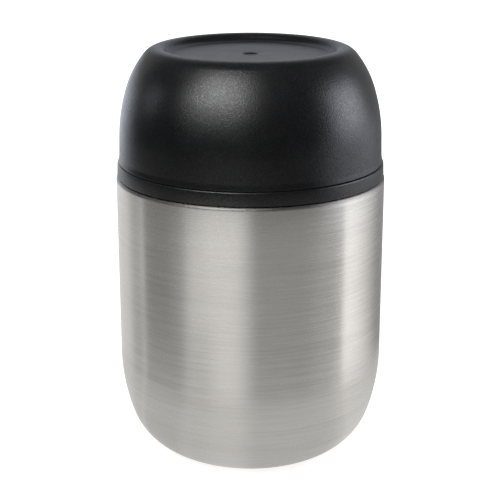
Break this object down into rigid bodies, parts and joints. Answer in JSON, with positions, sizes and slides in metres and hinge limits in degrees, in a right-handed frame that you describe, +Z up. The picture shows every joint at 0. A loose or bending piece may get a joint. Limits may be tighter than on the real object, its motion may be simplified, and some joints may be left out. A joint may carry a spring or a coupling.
{
  "type": "insulated food jar",
  "caption": "Round vacuum food jar: brushed steel body with a rounded base, screw-in inner lid with a press vent, and a domed black outer lid that screws off to serve as a bowl.",
  "frame": {"origin": "centre of the base, on the surface the jar stands on", "axes": "+Z up the jar's axis, from the base to the bowl's foot ring"},
  "size_m": [0.1042, 0.1042, 0.1616],
  "materials": {
    "brushed_body_steel": "satin",
    "vessel_steel": "satin",
    "copper_foil": "gloss",
    "getter_metal": "matte",
    "spring_steel": "polished",
    "black_plastic": "satin",
    "silicone": "matte",
    "foam": "matte"
  },
  "bodies": {
    "jar": {"outer_shell": "brushed_body_steel", "inner_vessel": "vessel_steel", "heat_foil": "copper_foil", "base_pan": "vessel_steel", "getter": "getter_metal", "getter_clip": "spring_steel", "vacuum_seal": "getter_metal", "base_cover": "brushed_body_steel"},
    "lid_lift": {"mouth_seal": "silicone"},
    "inner_lid": {"inner_lid": "black_plastic", "lid_plug": "black_plastic", "lid_foam": "foam", "vent_spring": "spring_steel"},
    "vent": {"vent_button": "black_plastic", "vent_stem": "spring_steel", "vent_seal": "silicone"},
    "bowl_lift": {"bowl_seal": "silicone"},
    "bowl": {"bowl": "black_plastic"}
  },
  "joints": [
    {"name": "lid_rise", "type": "slide", "parent": "jar", "child": "lid_lift", "axis": [0, 0, 1], "range_m": [0, 0.0361]},
    {"name": "lid_turn", "type": "hinge", "parent": "lid_lift", "child": "inner_lid", "pos_m": [0, 0, 0.1261], "axis": [0, 0, 1], "range_deg": [0, 720]},
    {"name": "vent_press", "type": "slide", "parent": "inner_lid", "child": "vent", "axis": [0, 0, -1], "range_m": [0, 0.002], "stiffness_N_per_m": 300, "springref_m": -0.004, "deforming": ["vent_spring"]},
    {"name": "bowl_rise", "type": "slide", "parent": "inner_lid", "child": "bowl_lift", "axis": [0, 0, 1], "range_m": [0, 0.0361]},
    {"name": "bowl_turn", "type": "hinge", "parent": "bowl_lift", "child": "bowl", "pos_m": [0, 0, 0.118], "axis": [0, 0, 1], "range_deg": [0, 720]}
  ],
  "couplings": [
    {"joint": "lid_rise", "follows": "lid_turn", "m_per_rad": 0.0028648},
    {"joint": "bowl_rise", "follows": "bowl_turn", "m_per_rad": 0.0028648}
  ]
}
